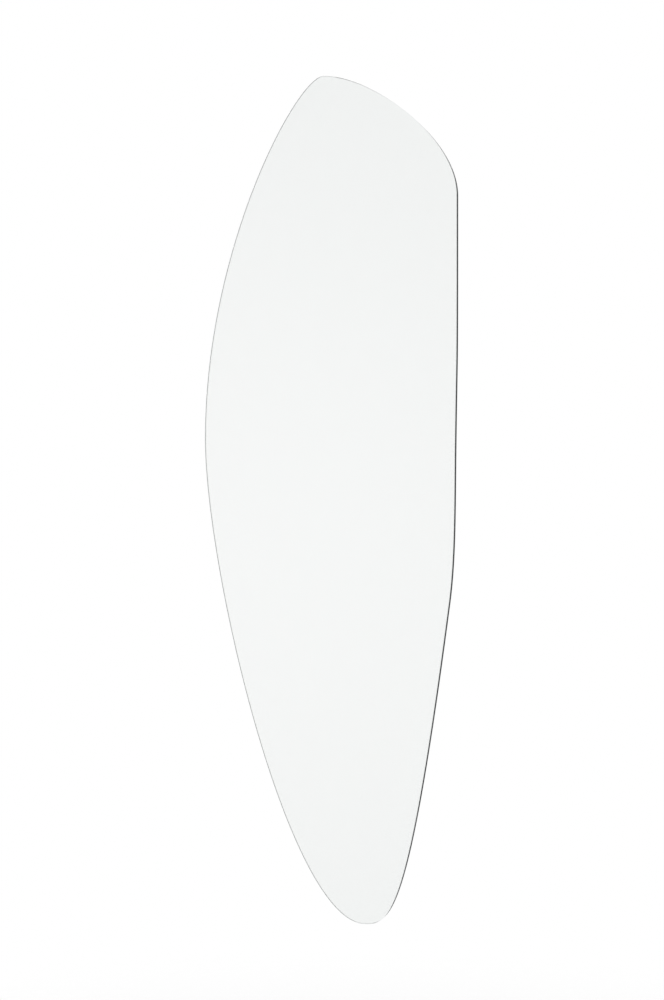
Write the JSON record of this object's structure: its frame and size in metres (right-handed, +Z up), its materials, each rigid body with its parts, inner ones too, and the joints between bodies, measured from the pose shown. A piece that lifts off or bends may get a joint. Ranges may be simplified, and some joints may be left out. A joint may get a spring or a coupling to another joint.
{
  "type": "frameless wall mirror",
  "caption": "Full-length frameless wall mirror with a free-form outline, bonded to a black backing board that lifts on and off an interlocking pair of aluminium rails.",
  "frame": {"origin": "centre of the wall rail's back face, plumb above the middle of the mirror's area", "axes": "+Y into the wall, so the mirror faces -Y; +Z up; +X to the right as seen from the front"},
  "size_m": [0.46, 0.0255, 1.5],
  "materials": {
    "glass": "clear float glass with polished edges",
    "silver": "mirror silver",
    "film": "matt grey safety film",
    "tape": "white foam tape",
    "board": "black satin lacquer on fibreboard",
    "rail": "satin anodised",
    "screw": "bright zinc plated",
    "bumper": "matt black rubber"
  },
  "bodies": {
    "wall_bracket": {"wall_rail": "rail"},
    "mirror": {"mirror_glass": "glass", "silvering": "silver", "safety_film": "film", "mounting_tape_1": "tape", "mounting_tape_2": "tape", "mounting_tape_3": "tape", "mounting_tape_4": "tape", "mounting_tape_5": "tape", "mounting_tape_6": "tape", "backing_board": "board", "mirror_rail": "rail", "mirror_rail_screw_1": "screw", "mirror_rail_screw_2": "screw", "mirror_rail_screw_3": "screw", "mirror_rail_screw_4": "screw", "mirror_rail_screw_5": "screw", "bumper_upper_left": "bumper", "bumper_upper_right": "bumper", "bumper_lower_left": "bumper", "bumper_lower_right": "bumper", "bumper_screw_upper_left": "screw", "bumper_screw_upper_right": "screw", "bumper_screw_lower_left": "screw", "bumper_screw_lower_right": "screw"}
  },
  "joints": [
    {"name": "lift_off", "type": "slide", "parent": "wall_bracket", "child": "mirror", "axis": [0, 0, 1], "range_m": [0, 0.02]}
  ]
}
